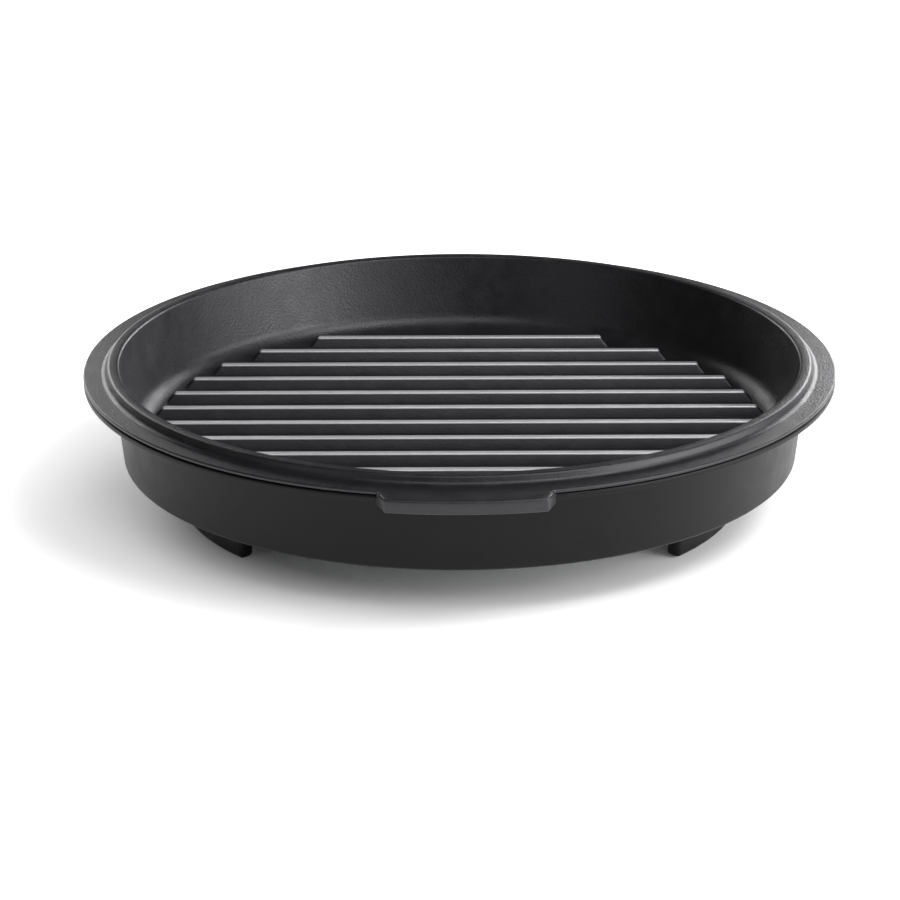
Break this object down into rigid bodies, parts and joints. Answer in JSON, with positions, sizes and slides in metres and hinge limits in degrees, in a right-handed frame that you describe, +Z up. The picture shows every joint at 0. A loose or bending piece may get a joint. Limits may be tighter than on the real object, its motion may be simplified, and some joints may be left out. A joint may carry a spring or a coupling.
{
  "type": "electric griddle",
  "caption": "Round ribbed cast griddle plate with a raised lip, flange and a lifting tab, lifting off a shallow heated base on arc-shaped feet.",
  "frame": {"origin": "centre of the plate, on the surface that the feet stand on", "axes": "+Z up out of the plate, -Y to the front tab, +Y to the inlet at the back, ribs along X"},
  "size_m": [0.34, 0.3567, 0.0665],
  "materials": {
    "nonstick_plate": "black non-stick coating, fine sprayed texture, semi-matt",
    "base_paint": "smooth satin black heatproof paint",
    "phenolic": "moulded black phenolic, satin",
    "foot_rubber": "matt black silicone",
    "zinc_sheet": "zinc-plated pressed sheet",
    "bright_sheet": "aluminised steel, bright",
    "element_sheath": "annealed dark steel sheath",
    "screw_steel": "zinc-plated",
    "spring_steel": "drawn wire",
    "bare_aluminium": "turned",
    "brass": "nickel-free bright brass",
    "ceramic": "unglazed steatite",
    "lead_brown": "brown silicone sleeve",
    "lead_blue": "blue silicone sleeve",
    "lead_green": "green silicone sleeve",
    "fuse_case": "tinned case"
  },
  "bodies": {
    "base": {"base_housing": "base_paint", "bottom_cover": "zinc_sheet", "box_screw_1": "screw_steel", "box_screw_2": "screw_steel", "cover_screw_1": "screw_steel", "cover_screw_2": "screw_steel", "cover_screw_3": "screw_steel", "cover_screw_4": "screw_steel", "earth_lead": "lead_green", "earth_tab": "brass", "element_strap_1": "zinc_sheet", "element_strap_2": "zinc_sheet", "element_strap_3": "zinc_sheet", "element_terminal_1": "ceramic", "element_terminal_2": "ceramic", "foot_front_left": "phenolic", "foot_front_right": "phenolic", "foot_pad_front_left": "foot_rubber", "foot_pad_front_right": "foot_rubber", "foot_pad_rear_left": "foot_rubber", "foot_pad_rear_right": "foot_rubber", "foot_rear_left": "phenolic", "foot_rear_right": "phenolic", "foot_screw_1": "screw_steel", "foot_screw_2": "screw_steel", "foot_screw_3": "screw_steel", "foot_screw_4": "screw_steel", "foot_screw_5": "screw_steel", "foot_screw_6": "screw_steel", "foot_screw_7": "screw_steel", "foot_screw_8": "screw_steel", "fuse_lead": "lead_brown", "heating_element": "element_sheath", "inlet_prong_earth": "brass", "inlet_prong_live": "brass", "inlet_prong_neutral": "brass", "inlet_screw_1": "screw_steel", "inlet_screw_2": "screw_steel", "inlet_socket": "phenolic", "live_lead": "lead_brown", "neutral_feed_lead": "lead_blue", "neutral_lead": "lead_blue", "reflector_pan": "bright_sheet", "sensor_feed_lead": "lead_brown", "sensor_return_lead": "lead_brown", "sensor_spring": "spring_steel", "switch_body": "phenolic", "switch_lead": "lead_brown", "switch_spring": "spring_steel", "terminal_block": "ceramic", "terminal_box": "phenolic", "terminal_box_lid": "phenolic", "thermal_fuse": "fuse_case", "thermostat_holder": "zinc_sheet"},
    "plate": {"grill_plate": "nonstick_plate"},
    "sensor": {"sensor_cup": "bare_aluminium", "thermostat_capsule": "ceramic"},
    "switch_button": {"switch_pin": "ceramic"}
  },
  "joints": [
    {"name": "plate_lift", "type": "slide", "parent": "base", "child": "plate", "axis": [0, 0, 1], "range_m": [0, 0.08]},
    {"name": "sensor_travel", "type": "slide", "parent": "base", "child": "sensor", "axis": [0, 0, 1], "range_m": [-0.0025, 0], "stiffness_N_per_m": 300, "springref_m": 0.005, "deforming": ["sensor_spring"]},
    {"name": "switch_travel", "type": "slide", "parent": "base", "child": "switch_button", "axis": [0, 0, 1], "range_m": [-0.002, 0], "stiffness_N_per_m": 60, "springref_m": 0.004, "deforming": ["switch_spring"]}
  ]
}
